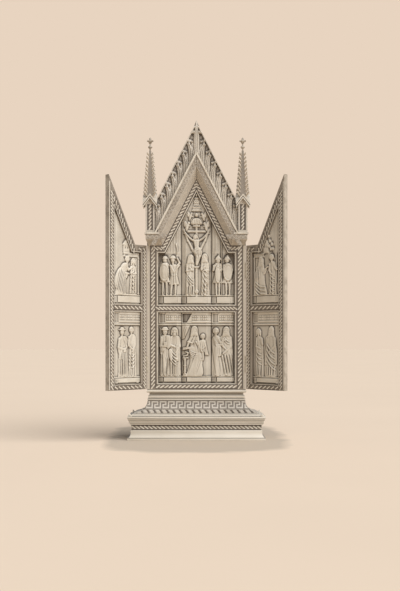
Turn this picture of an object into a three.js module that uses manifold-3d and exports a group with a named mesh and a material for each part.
// A folding triptych altarpiece: a gabled case of carved bone reliefs between two hinged wings,
// with a leafy crest and two pinnacles, on a moulded pedestal and plinth.
// Millimetres, +Z up, the front facing -Y, the origin at the centre of the plinth's underside.
import * as THREE from "three";
import { mergeVertices } from "three/addons/utils/BufferGeometryUtils.js";
import Module from "manifold-3d";

const wasm = await Module();
wasm.setup();

// ---- driving dimensions ----
const GAP = 0.3; // between pieces that touch
const CASE_HALF = 74; // half the case's width
const CASE_DEPTH = 32;
const FRONT = -CASE_DEPTH / 2; // plane of the case's face
const BACK = CASE_DEPTH / 2;
const BASE_TOP = 73.5; // where the case stands on the pedestal
const PLINTH_TOP = 35;
const BASE_INSET = 2 * CASE_HALF - CASE_DEPTH; // width of the base minus its depth

const SHOULDER = 290; // underside of the cornice at the case's face
const SLOPE = THREE.MathUtils.degToRad(27.25); // gable slope, from the vertical
const GABLE_HALF = 51.3; // half the gable's opening at the shoulder
const SOFFIT = 8; // widths of the cornice's members, square to its run
const BAND = 7.4;
const FILLET = 2.8;
const CORNICE = SOFFIT + BAND + FILLET;
const CORNICE_REACH = 12; // how far the band stands in front of the case
const FILLET_REACH = 13.5;
const SHOULDER_TOP = SHOULDER + CORNICE;

const RECESS = 10; // depth of the case's windows
const WINDOW_HALF = 57.4;
const WINDOW_STEP = 1.8; // the ledge round each window
const STEP_DEPTH = 2;
const LOWER_WINDOW = [83, 189.5]; // bottom and top
const UPPER_WINDOW = [201, 278.5];
const WINDOW_OFFSET = 9; // frame width along the gable
const MIDDLE_WIDTH = 44.6; // the three plaques of a register
const SIDE_WIDTH = (2 * WINDOW_HALF - MIDDLE_WIDTH) / 2 - 2 * GAP;

const CREST_EDGE = CORNICE + 20.4; // the crest's slope, square to the gable's opening
const CREST_THICKNESS = 5;
const LEAF_PITCH = 8.2;
const LEAVES = 7; // to each side of the middle leaf

const PINNACLE_X = 69.2;
const PINNACLE_Y = FRONT - 3.2;
const PIER = 13.4; // width of the square pier
const CANOPY_HALF = 10.4;
const CANOPY_TOP = 366;
const CANOPY_BAND = 6; // height of the small roofs' edge
const CANOPY_SLOPE = 1.3;
const CANOPY_EAVES = CANOPY_TOP - CANOPY_SLOPE * CANOPY_HALF;
const SPIRE_TOP = 431;
const CROCKETS = 7; // up each edge of a spire
const CROCKET_PITCH = 9.4;
const FINIAL_TOP = 451;

const WING_THICKNESS = 7.5;
const WING_RECESS = 5.2;
const WING_BOTTOM = 74.4;
const WING_CLEARANCE = 0.5; // to the cornice, when shut
const WING_OPEN = THREE.MathUtils.degToRad(135); // how far the wings stand open
const WING_WINDOW = [10.6, 63]; // from the hinge edge
const WING_SLOPE_FRAME = 11;
const AXIS_OUT = 0.25; // the hinge axis, outside the case's corner
const AXIS_FORWARD = 0.2;
const EDGE = 0.5; // from the axis to the wing's edge
const HINGE_HEIGHTS = [112, 252];
const HINGE_HALF = 12;
const KNUCKLE = 1.8;
const LEAF = 0.7; // thickness of a hinge leaf, let into the wood
const LEAF_PROUD = 0.05;

// Height of the line that runs parallel to the gable's opening, out by offset, at a distance x.
const slopeHeight = (offset, x = 0) =>
  SHOULDER + GABLE_HALF / Math.tan(SLOPE) + offset / Math.sin(SLOPE) - Math.abs(x) / Math.tan(SLOPE);
// Half the width between those two lines at a height z.
const slopeHalf = (offset, z) => (slopeHeight(offset) - z) * Math.tan(SLOPE);

// ---- materials ----
const finish = (color, roughness, metalness = 0) => ({ color, roughness, metalness, flatShading: true });
const BONE = finish(0xded0b6, 0.45);
const FRAME_WOOD = finish(0x7c6c5a, 0.5);
const MOULDED_WOOD = finish(0xb9a88e, 0.5);
const BRASS = finish(0x9a8457, 0.4, 0.9);

// ---- solids ----
// A closed geometry as a solid for joining and cutting.
function solid(geometry) {
  const bare = geometry.clone();
  bare.deleteAttribute("normal");
  bare.deleteAttribute("uv");
  const merged = mergeVertices(bare, 1e-4);
  return new wasm.Manifold(
    new wasm.Mesh({
      numProp: 3,
      vertProperties: merged.attributes.position.array,
      triVerts: new Uint32Array(merged.index.array),
    }),
  );
}

const join = (parts) => parts.reduce((a, b) => a.add(b));

// A solid back as a named mesh of its own.
function piece(name, shape, material) {
  const made = shape.getMesh();
  const geometry = new THREE.BufferGeometry();
  geometry.setAttribute("position", new THREE.BufferAttribute(made.vertProperties, 3));
  geometry.setIndex(new THREE.BufferAttribute(made.triVerts, 1));
  geometry.computeVertexNormals();
  const mesh = new THREE.Mesh(geometry, new THREE.MeshStandardMaterial(material));
  mesh.name = name;
  return mesh;
}

// An outline in X and Z as a slab between two planes of Y.
function slab(outline, near, far) {
  const shape = new THREE.Shape(outline.map(([x, z]) => new THREE.Vector2(x, z)));
  const geometry = new THREE.ExtrudeGeometry(shape, { depth: far - near, bevelEnabled: false });
  return solid(geometry.rotateX(Math.PI / 2).translate(0, far, 0));
}

// A plan in X and Y as a prism between two heights.
function prism(plan, bottom, top) {
  const shape = new THREE.Shape(plan.map(([x, y]) => new THREE.Vector2(x, y)));
  const geometry = new THREE.ExtrudeGeometry(shape, { depth: top - bottom, bevelEnabled: false });
  return solid(geometry.translate(0, 0, bottom));
}

function box(x0, x1, y0, y1, z0, z1) {
  const geometry = new THREE.BoxGeometry(x1 - x0, y1 - y0, z1 - z0);
  return solid(geometry.translate((x0 + x1) / 2, (y0 + y1) / 2, (z0 + z1) / 2));
}

// A skin through rings of points, closed at each end: flat across a ring of three or four, and
// by a fan from the middle of a longer one.
function loft(rings) {
  const count = rings[0].length;
  const points = rings.flat();
  const faces = [];
  for (let i = 0; i + 1 < rings.length; i++) {
    for (let j = 0; j < count; j++) {
      const [a, b] = [i * count + j, i * count + ((j + 1) % count)];
      faces.push([a, b, b + count], [a, b + count, a + count]);
    }
  }
  for (const [ring, start, last] of [[rings[0], 0, false], [rings.at(-1), points.length - count, true]]) {
    const hub = count > 4 ? points.push(middleOf(ring)) - 1 : start;
    for (let j = count > 4 ? 0 : 1; j < (count > 4 ? count : count - 1); j++) {
      const [a, b] = [start + j, start + ((j + 1) % count)];
      faces.push(last ? [hub, a, b] : [hub, b, a]);
    }
  }
  const inwards = volumeOf(points, faces) < 0;
  const geometry = new THREE.BufferGeometry().setFromPoints(points);
  return solid(geometry.setIndex(faces.flatMap((face) => (inwards ? face.reverse() : face))));
}

const middleOf = (ring) => ring.reduce((sum, p) => sum.add(p), new THREE.Vector3()).divideScalar(ring.length);

const volumeOf = (points, faces) =>
  faces.reduce((sum, [a, b, c]) => sum + points[a].dot(points[b].clone().cross(points[c])), 0);

// A ball stretched along the axes, its poles up and down.
function ball(centre, rx, ry, rz, sides = 6, rows = 3) {
  const geometry = new THREE.SphereGeometry(1, sides, rows).rotateX(Math.PI / 2);
  return solid(geometry.scale(rx, ry, rz).translate(...centre));
}

const at = (x, y, z) => new THREE.Vector3(x, y, z);

// ---- the base ----
// A moulding mitred round a rectangle: its profile is a list of half widths and heights.
function mouldedBlock(profile) {
  const ring = ([half, z]) => {
    const depth = half - BASE_INSET / 2;
    return [at(-half, -depth, z), at(half, -depth, z), at(half, depth, z), at(-half, depth, z)];
  };
  return loft(profile.map(ring));
}

// A quarter of an ellipse from one profile point to another, hollow towards the outside.
function hollow([x0, z0], [x1, z1], steps, steepFirst) {
  const points = [];
  for (let i = 0; i <= steps; i++) {
    const turn = (i / steps) * (Math.PI / 2);
    const [s, c] = steepFirst ? [1 - Math.cos(turn), Math.sin(turn)] : [Math.sin(turn), 1 - Math.cos(turn)];
    points.push([x0 + (x1 - x0) * s, z0 + (z1 - z0) * c]);
  }
  return points;
}

function plinth() {
  return mouldedBlock([
    [102, 0],
    [102, 3.7],
    ...hollow([101, 3.7], [97, 11.6], 4, false),
    [97, 14.4],
    [96.2, 14.4],
    [96.2, 22.2],
    [97, 22.2],
    [97, 24.4],
    [98.3, 24.4],
    [98.3, 26.2],
    [99.4, 28],
    [99.4, 29.6],
    [101, 31.4],
    [102, 31.4],
    [102, PLINTH_TOP],
  ]);
}

function pedestal() {
  return mouldedBlock([
    [97, PLINTH_TOP + GAP],
    [95.5, 37.6],
    ...hollow([93, 39], [72.6, 57.4], 7, false),
    [73.4, 57.4],
    [73.4, 59.8],
    [71.4, 59.8],
    [71.4, 61.2],
    [72.4, 61.2],
    [72.4, 64.4],
    [70.6, 64.4],
    [70.6, 69],
    [73.6, 69],
    [74.8, 70.2],
    [74.8, 72],
    [73.8, BASE_TOP - GAP],
  ]);
}

// A small leaf that lies in a corner of the plinth's top, its tip outwards.
function cornerLeaf(sx, sy) {
  const [x, y] = [95.6, 95.6 - BASE_INSET / 2];
  const rise = [
    [0, 1.2, 0.9],
    [1.6, 2.6, 2.6],
    [3.6, 1.9, 4.4],
    [4.8, 0.7, 4.2],
  ];
  const rings = rise.map(([out, half, top]) => {
    const [cx, cy] = [x + out * 0.7, y + out * 0.7];
    const foot = PLINTH_TOP + GAP;
    return [
      at(cx + half * 0.7, cy - half * 0.7, foot),
      at(cx + half * 0.7, cy - half * 0.7, foot + top * 0.5),
      at(cx, cy, foot + top),
      at(cx - half * 0.7, cy + half * 0.7, foot + top * 0.5),
      at(cx - half * 0.7, cy + half * 0.7, foot),
    ];
  });
  const leaf = loft(rings.map((ring) => ring.map((p) => at(p.x * sx, p.y * sy, p.z))));
  return leaf.subtract(pedestalRoom);
}

// ---- the case ----
// The outline of an upper window, grown outwards by grow.
function gabledWindow(grow) {
  const [bottom, top] = UPPER_WINDOW;
  const half = WINDOW_HALF + grow;
  const corner = slopeHalf(grow - WINDOW_OFFSET, top + grow);
  return [
    [-half, bottom - grow],
    [half, bottom - grow],
    [half, top + grow],
    [corner, top + grow],
    [0, slopeHeight(grow - WINDOW_OFFSET)],
    [-corner, top + grow],
    [-half, top + grow],
  ];
}

function lowerWindow(grow) {
  const [bottom, top] = LOWER_WINDOW;
  const half = WINDOW_HALF + grow;
  return [
    [-half, bottom - grow],
    [half, bottom - grow],
    [half, top + grow],
    [-half, top + grow],
  ];
}

function carcass() {
  const foot = slopeHalf(CORNICE, SHOULDER_TOP);
  const outline = [
    [-CASE_HALF, BASE_TOP],
    [CASE_HALF, BASE_TOP],
    [CASE_HALF, SHOULDER_TOP],
    [foot, SHOULDER_TOP],
    [0, slopeHeight(CORNICE)],
    [-foot, SHOULDER_TOP],
    [-CASE_HALF, SHOULDER_TOP],
  ];
  const windows = [gabledWindow, lowerWindow].flatMap((window) => [
    slab(window(0), FRONT - 1, FRONT + RECESS),
    slab(window(WINDOW_STEP), FRONT - 1, FRONT + STEP_DEPTH),
  ]);
  const notches = [-1, 1].flatMap((side) =>
    HINGE_HEIGHTS.flatMap((z) => [knuckleRoom(side, z), leafRoom(side, z)]),
  );
  return [...windows, ...notches].reduce((a, b) => a.subtract(b), slab(outline, FRONT, BACK));
}

// Room for one hinge's knuckles at the case's front corner, or at the wing's edge.
function knuckleRoom(side, z) {
  const geometry = new THREE.CylinderGeometry(KNUCKLE + 0.5, KNUCKLE + 0.5, 2 * HINGE_HALF + 1, 8);
  const x = side * (CASE_HALF + AXIS_OUT);
  return solid(geometry.rotateX(Math.PI / 2).translate(x, FRONT - AXIS_FORWARD, z));
}

// ---- the cornice ----
// The moulding's section: out from the opening, and forward of the case's face.
const CORNICE_SECTION = [
  [0, GAP],
  [SOFFIT, CORNICE_REACH],
  [SOFFIT + BAND, CORNICE_REACH],
  [SOFFIT + BAND, FILLET_REACH],
  [CORNICE, FILLET_REACH],
  [CORNICE, GAP],
];

// The moulding run along a line from a start point, in the direction of an angle from +X.
function corniceRun([x, z], angle, length, side) {
  const along = new THREE.Vector2(Math.cos(angle), Math.sin(angle));
  const out = new THREE.Vector2(-along.y, along.x).multiplyScalar(side);
  const ring = (t) =>
    CORNICE_SECTION.map(([n, d]) => at(x + along.x * t + out.x * n, FRONT - d, z + along.y * t + out.y * n));
  return loft([ring(0), ring(length)]);
}

// The half space on one side of the mitre between the raking and the level cornice.
function mitre(side, keepLevel) {
  const lean = (Math.PI / 2 + (Math.PI / 2 - SLOPE)) / 2; // of the mitre line, from +X
  const [dx, dz] = [Math.cos(lean), Math.sin(lean)];
  const reach = 200;
  const [sx, sz] = keepLevel ? [dz, -dx] : [-dz, dx];
  const shift = GAP / 2;
  const start = [GABLE_HALF + sx * shift, SHOULDER + sz * shift];
  const end = (t, s) => [side * (start[0] + dx * t + sx * s), start[1] + dz * t + sz * s];
  return slab([end(-reach, 0), end(reach, 0), end(reach, reach), end(-reach, reach)], FRONT - 50, FRONT + 50);
}

// Room for the leaf let into the case's side.
function leafRoom(side, z) {
  const xs = [side * (CASE_HALF - LEAF + LEAF_PROUD - GAP), side * (CASE_HALF + 2)].sort((a, b) => a - b);
  const front = FRONT - AXIS_FORWARD;
  return box(xs[0], xs[1], front, front + 9 + GAP, z - HINGE_HALF - GAP, z + HINGE_HALF + GAP);
}

function rakingCornice(side) {
  const angle = side > 0 ? Math.PI / 2 + SLOPE : Math.PI / 2 - SLOPE;
  const [ux, uz] = [Math.cos(angle), Math.sin(angle)];
  const back = 40;
  const run = corniceRun([side * GABLE_HALF - ux * back, SHOULDER - uz * back], angle, 230, -side);
  const half = side > 0 ? box(GAP / 2, 200, -100, 100, 0, 600) : box(-200, -GAP / 2, -100, 100, 0, 600);
  return run.intersect(half).intersect(mitre(side, false));
}

function levelCornice(side) {
  const run = corniceRun([side * 20, SHOULDER], side > 0 ? 0 : Math.PI, 60, side);
  const [inner, lip] = [CASE_HALF - 2, CASE_HALF + 1.7];
  const end = [
    [side * 20, SHOULDER - 1],
    [side * inner, SHOULDER - 1],
    [side * inner, SHOULDER],
    [side * lip, SHOULDER + SOFFIT],
    [side * lip, SHOULDER + SOFFIT + BAND],
    [side * (lip + 1.6), SHOULDER + SOFFIT + BAND],
    [side * (lip + 1.6), SHOULDER_TOP + 1],
    [side * 20, SHOULDER_TOP + 1],
  ];
  return run.intersect(mitre(side, true)).intersect(slab(end, FRONT - 50, FRONT + 50));
}

// ---- the crest ----
const CREST_END = PINNACLE_X - PIER / 2 - GAP; // where the crest meets the pinnacles

function crestOutline(inner, outer, end) {
  return [
    [end, slopeHeight(inner, end)],
    [end, slopeHeight(outer, end)],
    [0, slopeHeight(outer)],
    [-end, slopeHeight(outer, end)],
    [-end, slopeHeight(inner, end)],
    [0, slopeHeight(inner)],
  ];
}

// One upright leaf, its tip curling outwards and forwards over the edge of the board.
function crestLeaf(x, side) {
  const foot = slopeHeight(CORNICE, x) - 2;
  const tip = x + side * 5.4;
  const top = slopeHeight(CREST_EDGE - 0.8, tip);
  const rise = (share) => foot + (top - foot) * share;
  const blade = [
    [x, foot, 3, 0.8],
    [x + side * 0.8, rise(0.7), 3.8, 2.8],
    [tip - side * 0.6, rise(0.97), 2.4, 3.6],
  ];
  return ridge(blade, CREST_THICKNESS).add(ball([tip, -CREST_THICKNESS - 2.4, top - 1.6], 2.4, 2.6, 2.6, 4));
}

// The leaf at the peak, with a scroll to each side and a pointed tip.
function peakLeaf() {
  const [foot, top] = [slopeHeight(CORNICE) - 2, slopeHeight(CREST_EDGE)];
  const blade = [
    [0, foot, 3, 1],
    [0, foot + 20, 4.6, 3.4],
    [0, top - 12, 4.2, 3],
    [0, top + 4, 0.7, 1],
  ];
  const scrolls = [-1, 1].map((side) => ball([side * 5.6, -CREST_THICKNESS - 1.4, top - 16], 2.6, 2.8, 3));
  return join([ridge(blade, CREST_THICKNESS), ...scrolls]);
}

function crest() {
  const board = slab(crestOutline(CORNICE + GAP, CREST_EDGE - 1, CREST_END), -CREST_THICKNESS, 0);
  const leaves = [peakLeaf()];
  for (let i = 1; i <= LEAVES; i++) {
    leaves.push(...[-1, 1].map((side) => crestLeaf(side * i * LEAF_PITCH, side)));
  }
  const room = slab(crestOutline(CORNICE + GAP, CREST_EDGE + 6, CREST_END), -20, 1);
  const [clear, low] = [PINNACLE_X - CANOPY_HALF - GAP, CANOPY_EAVES - 3];
  const eaves = [box(clear, 90, -30, 30, low, 500), box(-90, -clear, -30, 30, low, 500)];
  const carved = eaves.reduce((a, b) => a.subtract(b), join([board, ...leaves]).intersect(room));
  return carved.translate([0, FRONT + CREST_THICKNESS / 2, 0]);
}

// ---- the pinnacles ----
// The space under two roofs that cross, each a gable over the same half width, moved up by lift.
function crossedRoofs(lift, half) {
  const ends = (z) => z - CANOPY_SLOPE * half + lift;
  const gable = [
    [-half, 0],
    [half, 0],
    [half, ends(CANOPY_TOP)],
    [0, CANOPY_TOP + lift],
    [-half, ends(CANOPY_TOP)],
  ];
  const roof = slab(gable, -half, half);
  return roof.add(roof.rotate([0, 0, 90]));
}

function pier() {
  const [half, panel, sunk] = [PIER / 2, PIER / 2 - 2.3, 0.9];
  const [bottom, top] = [SHOULDER_TOP + GAP, CANOPY_TOP - CANOPY_BAND - 4.5];
  const outline = [
    [-panel, bottom + 3],
    [panel, bottom + 3],
    [panel, top - CANOPY_SLOPE * panel],
    [0, top],
    [-panel, top - CANOPY_SLOPE * panel],
  ];
  const sinks = [slab(outline, -half - 1, -half + sunk), slab(outline, half - sunk, half + 1)];
  const turned = sinks.map((sink) => sink.rotate([0, 0, 90]));
  const gables = crossedRoofs(-CANOPY_BAND - 2 * GAP, 20);
  const body = box(-half, half, -half, half, bottom, CANOPY_TOP).intersect(gables);
  return [...sinks, ...turned].reduce((a, b) => a.subtract(b), body);
}

// A small gabled roof over each face of the pier.
function canopy() {
  const roofs = crossedRoofs(0, CANOPY_HALF).subtract(crossedRoofs(-CANOPY_BAND, 20));
  return roofs.intersect(box(-20, 20, -20, 20, CANOPY_EAVES - 2.4, 500));
}

// A square spire with curled leaves up its four edges.
function spire() {
  const [foot, half, tip] = [CANOPY_TOP - CANOPY_BAND, 4.9, 1.2];
  const square = (h, z) => [at(-h, -h, z), at(h, -h, z), at(h, h, z), at(-h, h, z)];
  const crockets = [];
  for (let i = 0; i < CROCKETS; i++) {
    const z = foot + 3 + i * CROCKET_PITCH;
    const edge = half + ((tip - half) * (z - foot)) / (SPIRE_TOP - foot);
    const bud = crocket(edge, z, 1 - (0.45 * i) / (CROCKETS - 1));
    for (let turn = 0; turn < 360; turn += 90) crockets.push(bud.rotate([0, 0, turn]));
  }
  const body = loft([square(half, foot), square(tip, SPIRE_TOP)]);
  return join([body, ...crockets]).subtract(crossedRoofs(2 * GAP, 20));
}

// A bud on the edge of the spire in the +X +Y corner.
function crocket(edge, z, size) {
  const stations = [
    [-1, 0, 1.3],
    [4, 3, 1.9],
  ];
  const rings = stations.map(([out, up, half]) => {
    const c = edge + (out * size) / Math.SQRT2;
    const [w, level] = [(half * size) / Math.SQRT2, z + up * size];
    return [at(c + w, c - w, level), at(c - w, c + w, level), at(c, c, level + half * size * 1.3)];
  });
  return loft(rings);
}

// The neck, knob and flower-shaped cross on a spire.
function finial() {
  const [foot, arms] = [SPIRE_TOP + GAP, SPIRE_TOP + 12.4];
  const profile = [
    [0, foot],
    [1.2, foot],
    [1, foot + 2.6],
    [3.2, foot + 4.8],
    [1, foot + 7],
    [1.1, arms],
    [2, arms + 3.6],
    [0, FINIAL_TOP],
  ];
  const stem = new THREE.LatheGeometry(profile.map(([r, z]) => new THREE.Vector2(r, z)), 6);
  const lobe = loft(
    [
      [0, 0, 1],
      [3, 0.4, 1.7],
      [4.9, 1.8, 0.4],
    ].map(([x, up, half]) => [-1, 1].flatMap((s) => [at(x, s * half, arms + up - s * half), at(x, s * half,
      arms + up + s * half)])),
  );
  const lobes = [0, 90, 180, 270].map((turn) => lobe.rotate([0, 0, turn]));
  return join([solid(stem.rotateX(Math.PI / 2)), ...lobes]);
}

// ---- carved figures ----
// Shares of a figure's height. Stations of a long robe: height, half width, depth, fold depth.
const ROBE = [
  [0, 0.11, 0.055, 0.35],
  [0.36, 0.094, 0.056, 0.2],
  [0.6, 0.078, 0.052, 0],
  [0.76, 0.092, 0.048, 0],
  [0.86, 0.034, 0.036, 0],
];
// The same of a short tunic, and of a bare body with a cloth round its hips.
const TUNIC = [
  [0.36, 0.1, 0.054, 0.3],
  [0.6, 0.072, 0.05, 0],
  [0.76, 0.094, 0.048, 0],
  [0.86, 0.034, 0.036, 0],
];
const BARE = [
  [0.4, 0.068, 0.048, 0.3],
  [0.56, 0.05, 0.042, 0],
  [0.77, 0.08, 0.044, 0],
  [0.86, 0.03, 0.032, 0],
];
const DRESSES = { robe: ROBE, tunic: TUNIC, bare: BARE };
// Elbow and hand of the left and the right arm, across and up from the foot point.
const ARMS = {
  clasped: [[-0.12, 0.62], [-0.015, 0.68], [0.12, 0.62], [0.02, 0.66]],
  book: [[-0.12, 0.6], [-0.01, 0.6], [0.12, 0.61], [0.03, 0.68]],
  pointing: [[-0.12, 0.62], [-0.02, 0.58], [0.13, 0.68], [0.11, 0.8]],
  lowered: [[-0.12, 0.6], [-0.1, 0.46], [0.12, 0.6], [0.03, 0.62]],
  reachRight: [[-0.06, 0.62], [0.06, 0.64], [0.13, 0.64], [0.16, 0.72]],
  reachLeft: [[-0.13, 0.64], [-0.16, 0.7], [0.05, 0.62], [-0.07, 0.62]],
  raised: [[-0.08, 0.62], [0.04, 0.6], [0.05, 0.6], [0.15, 0.82]],
  spread: [[-0.2, 0.91], [-0.35, 1.07], [0.2, 0.91], [0.35, 1.07]],
};
// Hip, knee and ankle: across, up, half width and depth.
const LEGS = {
  tunic: [[0.035, 0.42, 0.04, 0.04], [0.045, 0.2, 0.03, 0.045], [0.055, 0, 0.022, 0.03]],
  bare: [[0.035, 0.44, 0.036, 0.04], [0.035, 0.22, 0.028, 0.05], [0.008, 0, 0.016, 0.04]],
};
const HEAD_RISE = 0.925;
const FOLDS = 3; // facets across the front of a robe
const ROOT = -1; // how deep in its plaque a relief is rooted

// A ridge in relief along a run of points: across, up, half width and height over the ground.
function ridge(run, face) {
  const ring = ([x, z, half, top], i) => {
    const [before, after] = [run[Math.max(i - 1, 0)], run[Math.min(i + 1, run.length - 1)]];
    const along = new THREE.Vector2(after[0] - before[0], after[1] - before[1]).normalize();
    const point = (share, y) => at(x - along.y * half * share, y, z + along.x * half * share);
    return [point(-1, ROOT), point(0, -face - top), point(1, ROOT)];
  };
  return loft(run.map(ring));
}

// A figure carved on a ground that lies face in front of the plaque's back, as solids that run
// into each other. Its measures are shares of its height.
function figure(spec) {
  const { x, foot, height, face, depth = 1, dress = "robe", arms, head = "bare", sway = 0, hem = 1 } = spec;
  const sweep = (z) => sway * Math.sin(z * Math.PI);
  const spot = ([across, up], half, deep) =>
    [x + across * height + sweep(up), foot + up * height, half * height, deep * height * depth];
  const limb = (run) => ridge(run.map(([p, half, deep]) => spot(p, half, deep)), face);
  const dome = (up, deep, rx, ry, rz) => {
    const [cx, cz] = spot([0, up], 0, 0);
    return ball([cx, -face - deep * height * depth, cz], rx * height, ry * height * depth, rz * height);
  };
  const ring = ([z, half, deep, fold]) => {
    const [cx, cz] = spot([0, z], 0, 0);
    const wide = half * height * (z < 0.5 ? hem : 1);
    const front = [];
    for (let j = 0; j <= FOLDS; j++) {
      const turn = (Math.PI * j) / FOLDS;
      const crease = deep * (1 - fold * (j % 2)) * Math.sin(turn) * height * depth;
      front.push(at(cx - wide * Math.cos(turn), -face - crease, cz));
    }
    return [...front, at(cx + wide, ROOT, cz), at(cx - wide, ROOT, cz)];
  };
  const parts = [loft(DRESSES[dress].map(ring)), dome(HEAD_RISE, 0.02, 0.046, 0.045, 0.068)];
  if (head === "hood") parts.push(dome(HEAD_RISE - 0.014, 0, 0.07, 0.05, 0.09));
  if (head === "cap") parts.push(dome(HEAD_RISE + 0.045, 0.014, 0.056, 0.05, 0.036));
  if (head === "helmet") {
    parts.push(limb([[[0, 0.93], 0.064, 0.03], [[0, 1], 0.036, 0.05], [[0, 1.05], 0.006, 0.02]]));
  }
  const sleeve = dress === "robe" ? 1.5 : 1.1;
  const [elbows, hands] = [ARMS[arms].filter((_, i) => i % 2 === 0), ARMS[arms].filter((_, i) => i % 2)];
  [-1, 1].forEach((turn, i) => {
    const shoulder = [[turn * 0.075, 0.79], 0.03, 0.04];
    parts.push(limb([shoulder, [elbows[i], 0.028 * sleeve, 0.05], [hands[i], 0.02, 0.072]]));
    if (dress !== "robe") {
      parts.push(limb(LEGS[dress].map(([across, up, half, deep]) => [[turn * across, up], half, deep])));
    }
  });
  return parts;
}

// An oval shield held before a figure, solid back to the plaque.
function shield(x, z, half, face, depth) {
  const turns = [0, 1, 2, 3, 4, 5, 6, 7].map((i) => (i * Math.PI) / 4);
  const rim = turns.map((turn) => [x + half * Math.cos(turn), z + 14 * Math.sin(turn)]);
  const edge = -face - 1.6 * depth;
  return slab(rim, edge, ROOT).add(ball([x, edge, z], half, 2.4 * depth, 14, 8, 4));
}

// ---- plaques ----
// The plan of a plaque with canted sides, stood out by proud.
function cantedPlan(width, cant, edge, body, proud = 0) {
  const half = width / 2;
  return [
    [-half, 0],
    [-half, -edge - proud],
    [-half + cant, -body - proud],
    [half - cant, -body - proud],
    [half, -edge - proud],
    [half, 0],
  ].reverse();
}

const CASE_PLAQUE = { edge: 2.2, body: 5.4, proud: 1.9, depth: 0.85 };
const WING_PLAQUE = { edge: 1.2, body: 2.3, proud: 1.2, depth: 0.42 };
// Height of the block that the figures stand on, and of the entablature over the lower ones.
const FOOT = { lower: 9.6, upper: 12.6 };
const ENTABLATURE = 19.4;

// A box in relief on a ground: its middle and half width across, its foot and its height.
const rail = (x, z, half, high, top, face) => box(x - half, x + half, -face - top, ROOT, z, z + high);

// A plaque with its foot block, its figures and, in the lower register, an entablature.
function plaque({ width, height, cant, kind, level, figures, extras = () => [], outline }) {
  const { edge, body, proud, depth } = kind;
  const plan = (out) => cantedPlan(width, cant, edge, body, out);
  const foot = FOOT[level];
  const parts = [
    prism(plan(0), 0, height),
    prism(plan(proud), 0.6, foot - 2.6),
    prism(plan(proud), foot - 1.6, foot),
  ];
  if (level === "lower") {
    const lip = height - ENTABLATURE;
    parts.push(prism(plan(proud * 0.7), lip, height), prism(plan(proud), lip, lip + 1.6));
    parts.push(prism(plan(proud), height - 3, height));
  }
  for (const spec of figures) {
    parts.push(...figure({ ...spec, foot: foot + (spec.lift ?? 0), face: body, depth }));
  }
  const limit = kind === CASE_PLAQUE ? RECESS - 1 : WING_RECESS - 0.7;
  const room = box(-width / 2, width / 2, -limit, 0, 0, height);
  const whole = join([...parts, ...extras(body, depth)]).intersect(room);
  return outline ? whole.intersect(slab(outline, -20, 5)) : whole;
}

const LOWER_HEIGHT = LOWER_WINDOW[1] - LOWER_WINDOW[0] - 2 * GAP;
const GABLE_PLAQUE_TOP = slopeHeight(-WINDOW_OFFSET) - UPPER_WINDOW[0];

// The slope that trims an upper plaque, in the plaque's own frame.
function plaqueSlope(centre, width) {
  const offset = -WINDOW_OFFSET - GAP;
  const bottom = UPPER_WINDOW[0] + GAP;
  const height = (x) => slopeHeight(offset, x) - bottom;
  const shoulder = UPPER_WINDOW[1] - GAP - bottom;
  const [left, right] = [centre - width / 2, centre + width / 2];
  const corner = slopeHalf(offset, UPPER_WINDOW[1] - GAP);
  const stops = [left, -corner, 0, corner, right].filter((x) => x >= left && x <= right);
  const top = stops.map((x) => [x - centre, Math.max(height(x), shoulder)]);
  return [[right - centre, -1], [left - centre, -1], ...top];
}

// The cross with its curved branches, and the tiers of the canopy over it.
function crossAndCanopy(face) {
  const branch = (side) => [[0, 86, 2, 1.2], [side * 9, 96, 1.7, 1.2], [side * 18.5, 114, 1.3, 1]];
  return [
    ridge([[0, FOOT.upper, 2.3, 1.4], [0, 120, 2, 1.4]], face),
    ridge(branch(-1), face),
    ridge(branch(1), face),
    rail(0, 107.6, 15, 3, 1.4, face),
    rail(0, 55, 3.8, 2.6, 2.6, face),
    ball([0, -face - 0.8, FOOT.upper + 5], 4.2, 2, 4.6),
    rail(0, 120, 8.4, 9, 1.2, face),
    rail(0, 129, 3.4, 11, 2, face),
    rail(0, 141, 6, 6, 1.6, face),
    rail(0, 149, 4.4, 7, 2.2, face),
  ];
}

// The child's raised seat, the woman's lap and, to the left, a lectern on a column.
function lecternAndLap(face) {
  return [
    ridge([[-7, 47, 5, 2.6], [2, 40, 5, 3.6], [4, 14, 4.6, 2.4]], face),
    ridge([[-17.3, FOOT.lower, 1.6, 1.4], [-17.3, 36, 1.4, 1.2]], face),
    rail(-16.4, 36, 4.6, 1.8, 1.6, face),
    rail(-16, 37, 2.8, 13, 1.2, face),
    rail(-15.4, 50, 6.4, 4, 2, face),
  ];
}

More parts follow.
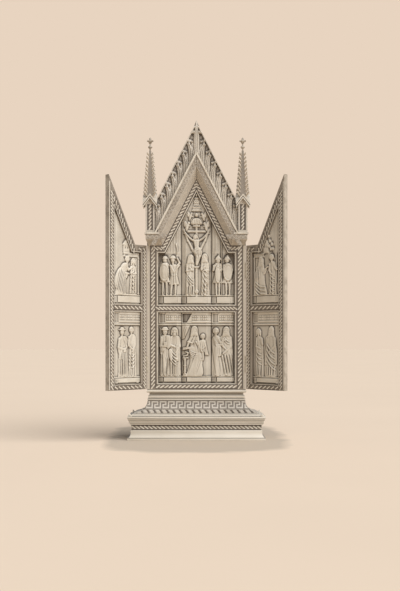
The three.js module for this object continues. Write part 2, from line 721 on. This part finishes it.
// What each plaque of the case shows: its figures, and what they hold or stand before.
const CASE_RELIEFS = {
  lower_left: {
    figures: [
      { x: -7.6, height: 71, arms: "book", head: "cap", sway: 0.8 },
      { x: 6.8, height: 71, arms: "lowered", head: "bare", sway: -0.8 },
    ],
  },
  lower_middle: {
    figures: [
      { x: -3.4, height: 75, arms: "reachRight", head: "hood", sway: -1.5 },
      { x: 7.6, lift: 24.5, height: 37, arms: "clasped", head: "bare" },
    ],
    extras: lecternAndLap,
  },
  lower_right: {
    figures: [
      { x: -9.4, height: 69, arms: "reachRight", head: "bare", sway: 1.6 },
      { x: 5.6, height: 71, arms: "clasped", head: "hood", sway: 1.2 },
    ],
  },
  upper_left: {
    figures: [
      { x: -7.6, height: 58, dress: "tunic", arms: "lowered", head: "cap" },
      { x: 6.2, height: 58, dress: "tunic", arms: "raised", head: "cap" },
    ],
    extras: (face, depth) => [shield(-8.8, 48.5, 7.2, face, depth)],
  },
  upper_middle: {
    figures: [
      { x: -10.2, height: 58, arms: "clasped", head: "hood", sway: 0.8 },
      { x: 12.4, height: 60, arms: "reachLeft", head: "hood", sway: 1.2 },
      { x: 0, lift: 45, height: 50, dress: "bare", arms: "spread" },
    ],
    extras: crossAndCanopy,
  },
  upper_right: {
    figures: [
      { x: -7, height: 58, dress: "tunic", arms: "lowered", head: "helmet" },
      { x: 6.6, height: 58, dress: "tunic", arms: "lowered", head: "helmet" },
    ],
    extras: (face, depth) => [
      shield(-7.6, 45.5, 4.2, face, depth),
      shield(7.2, 48.5, 7, face, depth),
      ridge([[-2.1, FOOT.upper, 0.8, 0.9], [-2.1, 92, 0.8, 0.9]], face),
    ],
  },
};

function casePlaques() {
  const offset = (MIDDLE_WIDTH + SIDE_WIDTH) / 2 + GAP;
  const columns = {
    left: [-offset, SIDE_WIDTH, 6.5],
    middle: [0, MIDDLE_WIDTH, 8.2],
    right: [offset, SIDE_WIDTH, 6.5],
  };
  return Object.entries(CASE_RELIEFS).map(([name, scene]) => {
    const [level, column] = name.split("_");
    const [centre, width, cant] = columns[column];
    const gabled = level === "upper";
    const shape = plaque({
      ...scene,
      width,
      cant,
      level,
      kind: CASE_PLAQUE,
      height: gabled ? GABLE_PLAQUE_TOP : LOWER_HEIGHT,
      outline: gabled && plaqueSlope(centre, width),
    });
    const mesh = piece("plaque_" + name, shape, BONE);
    mesh.position.set(centre, FRONT + RECESS - GAP, (gabled ? UPPER_WINDOW : LOWER_WINDOW)[0] + GAP);
    return mesh;
  });
}

// ---- the wings ----
const WING_MIDDLE = (WING_WINDOW[0] + WING_WINDOW[1]) / 2 + AXIS_OUT; // of the windows, from the axis

// The wing's outline in its own frame: u from the hinge axis, towards the middle when shut.
function wingOutline(side) {
  const free = CASE_HALF + AXIS_OUT - GAP;
  const rise = slopeHeight(-WING_CLEARANCE);
  const corner = CASE_HALF + AXIS_OUT - (rise - (SHOULDER - WING_CLEARANCE)) * Math.tan(SLOPE);
  return [
    [EDGE, WING_BOTTOM],
    [free, WING_BOTTOM],
    [free, rise - GAP / Math.tan(SLOPE)],
    [corner, SHOULDER - WING_CLEARANCE],
    [EDGE, SHOULDER - WING_CLEARANCE],
  ].map(([u, z]) => [-side * u, z]);
}

// A wing's window, shrunk by inset, as u and z.
function wingWindow([bottom, top], inset, gabled) {
  const [near, far] = [WING_WINDOW[0] + AXIS_OUT + inset, WING_WINDOW[1] + AXIS_OUT - inset];
  if (!gabled) {
    return [[near, bottom + inset], [far, bottom + inset], [far, top - inset], [near, top - inset]];
  }
  const offset = -WING_CLEARANCE - WING_SLOPE_FRAME - inset;
  const height = (u) => slopeHeight(offset, CASE_HALF + AXIS_OUT - u);
  const corner = CASE_HALF + AXIS_OUT - slopeHalf(offset, top - inset);
  return [[near, bottom + inset], [far, bottom + inset], [far, height(far)], [corner, top - inset],
    [near, top - inset]];
}

function wingBoard(side) {
  const inner = -AXIS_FORWARD; // the face that shuts against the case, ahead of the axis
  const outer = inner - WING_THICKNESS;
  const board = slab(wingOutline(side), outer, inner);
  const mirrored = (outline) => outline.map(([u, z]) => [-side * u, z]);
  const windows = [
    slab(mirrored(wingWindow(LOWER_WINDOW, 0, false)), inner - WING_RECESS, 1),
    slab(mirrored(wingWindow(UPPER_WINDOW, 0, true)), inner - WING_RECESS, 1),
  ];
  const notches = HINGE_HEIGHTS.flatMap((z) => {
    const geometry = new THREE.CylinderGeometry(KNUCKLE + 0.5, KNUCKLE + 0.5, 2 * HINGE_HALF + 1, 8);
    const xs = [0, -side * (EDGE + LEAF - LEAF_PROUD + GAP)].sort((a, b) => a - b);
    const leaf = box(xs[0], xs[1], outer + 0.6 - GAP, 1, z - HINGE_HALF - GAP, z + HINGE_HALF + GAP);
    return [solid(geometry.rotateX(Math.PI / 2).translate(0, 0, z)), leaf];
  });
  return [...windows, ...notches].reduce((a, b) => a.subtract(b), board);
}

// A wing's plaque in its own frame, cut to its window. Its x runs the way the viewer sees it.
function wingPlaque(side, level, scene) {
  const [row, gabled] = level === "upper" ? [UPPER_WINDOW, true] : [LOWER_WINDOW, false];
  const outline = wingWindow(row, GAP, gabled).map(([u, z]) => [side * (u - WING_MIDDLE), z - row[0]]);
  return plaque({
    ...scene,
    level,
    outline,
    width: WING_WINDOW[1] - WING_WINDOW[0] - 2 * GAP,
    height: Math.max(...outline.map(([, z]) => z)),
    cant: 8,
    kind: WING_PLAQUE,
  });
}

const WING_RELIEFS = {
  left: {
    upper: {
      figures: [
        { x: -8.5, height: 56, arms: "reachRight", head: "hood", sway: 2.4, hem: 1.3 },
        { x: 12, height: 57, arms: "clasped", head: "bare", sway: -0.8 },
      ],
      extras: (face) => [rail(10, 71.6, 15, 3, 0.9, face), rail(3, 74, 6, 20, 0.7, face)],
    },
    lower: {
      figures: [
        { x: -6.4, height: 70, arms: "book", head: "cap", sway: 1 },
        { x: 11, height: 71, arms: "lowered", head: "cap", sway: -0.6 },
      ],
    },
  },
  right: {
    upper: {
      figures: [
        { x: -9, height: 56, arms: "reachRight", head: "hood", sway: 1.6, hem: 1.3 },
        { x: 11.6, height: 57, arms: "lowered", head: "bare", sway: -0.8 },
      ],
      extras: (face) => [
        rail(-12, 70, 12, 5, 0.9, face),
        ridge([[20.6, FOOT.upper, 0.8, 0.9], [20.6, 62, 0.8, 0.9]], face),
      ],
    },
    lower: {
      figures: [
        { x: -11, height: 69, arms: "reachRight", head: "bare", sway: 0.6 },
        { x: 9.6, height: 72, arms: "clasped", head: "hood", sway: 1.4, hem: 1.2 },
      ],
    },
  },
};

function wing(name, side) {
  const group = new THREE.Group();
  group.position.set(side * (CASE_HALF + AXIS_OUT), FRONT - AXIS_FORWARD, 0);
  group.rotation.z = side * WING_OPEN;
  group.add(piece(name + "_wing", wingBoard(side), FRAME_WOOD));
  for (const [level, [bottom]] of [["upper", UPPER_WINDOW], ["lower", LOWER_WINDOW]]) {
    const shape = wingPlaque(side, level, WING_RELIEFS[name][level]);
    const mesh = piece(name + "_wing_plaque_" + level, shape, BONE);
    mesh.rotation.z = Math.PI;
    mesh.position.set(-side * WING_MIDDLE, -AXIS_FORWARD - WING_RECESS + GAP, bottom);
    group.add(mesh);
  }
  HINGE_HEIGHTS.forEach((z, i) => {
    group.add(piece(name + "_hinge_leaf_" + (i + 1), wingLeaf(side, z), BRASS));
  });
  return group;
}

// ---- the hinges ----
const tube = (radius, z0, z1, sides) => {
  const geometry = new THREE.CylinderGeometry(radius, radius, z1 - z0, sides);
  return solid(geometry.rotateX(Math.PI / 2).translate(0, 0, (z0 + z1) / 2));
};

// The leaf on the case, with the lower knuckle and the pin, in the hinge axis's frame.
function caseLeaf(side, z) {
  const [low, high] = [z - HINGE_HALF, z + HINGE_HALF];
  const near = -AXIS_OUT - LEAF + LEAF_PROUD;
  const xs = [side * near, side * (near + LEAF)].sort((a, b) => a - b);
  const plate = box(xs[0], xs[1], 1, 9, low, high).subtract(tube(KNUCKLE + 0.3, z, high + 1, 8));
  return join([plate, tube(KNUCKLE, low, z - 0.15, 8), tube(0.75, z - 1, high - 0.5, 8)]);
}

// The leaf on the wing's edge, with the upper knuckle, in the wing's own frame.
function wingLeaf(side, z) {
  const [low, high] = [z - HINGE_HALF, z + HINGE_HALF];
  const near = EDGE - LEAF_PROUD;
  const xs = [-side * near, -side * (near + LEAF)].sort((a, b) => a - b);
  const plate = box(xs[0], xs[1], -AXIS_FORWARD - WING_THICKNESS + 0.6, -0.9, low, high);
  const knuckle = tube(KNUCKLE, z + 0.15, high, 8);
  const leaf = join([plate.subtract(tube(KNUCKLE + 0.3, low - 1, z, 8)), knuckle]);
  return leaf.subtract(tube(1.1, z - 1, high + 1, 8));
}

// ---- the whole ----
// What the pedestal fills at its foot, so that the corner leaves stay clear of it.
const pedestalRoom = mouldedBlock([
  [97 + GAP, 0],
  [97 + GAP, PLINTH_TOP + 2 * GAP],
  [95.5 + GAP, 37.6 + GAP],
  ...hollow([93 + GAP, 39 + GAP], [72.6 + GAP, 57.4], 7, false),
]);

function build() {
  const altarpiece = new THREE.Group();
  altarpiece.add(piece("plinth", plinth(), MOULDED_WOOD));
  altarpiece.add(piece("pedestal", pedestal(), MOULDED_WOOD));
  [[-1, -1], [1, -1], [-1, 1], [1, 1]].forEach(([sx, sy], i) => {
    altarpiece.add(piece("corner_leaf_" + (i + 1), cornerLeaf(sx, sy), BONE));
  });
  altarpiece.add(piece("case", carcass(), FRAME_WOOD), ...casePlaques());
  altarpiece.add(piece("crest", crest(), MOULDED_WOOD));
  for (const [name, side] of [["left", -1], ["right", 1]]) {
    altarpiece.add(piece(name + "_raking_cornice", rakingCornice(side), MOULDED_WOOD));
    altarpiece.add(piece(name + "_level_cornice", levelCornice(side), MOULDED_WOOD));
    const pinnacle = new THREE.Group();
    pinnacle.position.set(side * PINNACLE_X, PINNACLE_Y, 0);
    pinnacle.add(piece(name + "_pier", pier(), MOULDED_WOOD));
    pinnacle.add(piece(name + "_canopy", canopy(), MOULDED_WOOD));
    pinnacle.add(piece(name + "_spire", spire(), MOULDED_WOOD));
    pinnacle.add(piece(name + "_finial", finial(), BONE));
    altarpiece.add(pinnacle, wing(name, side));
    const axis = new THREE.Group();
    axis.position.set(side * (CASE_HALF + AXIS_OUT), FRONT - AXIS_FORWARD, 0);
    HINGE_HEIGHTS.forEach((z, i) => {
      axis.add(piece(name + "_hinge_pin_" + (i + 1), caseLeaf(side, z), BRASS));
    });
    altarpiece.add(axis);
  }
  return altarpiece;
}

export default build();
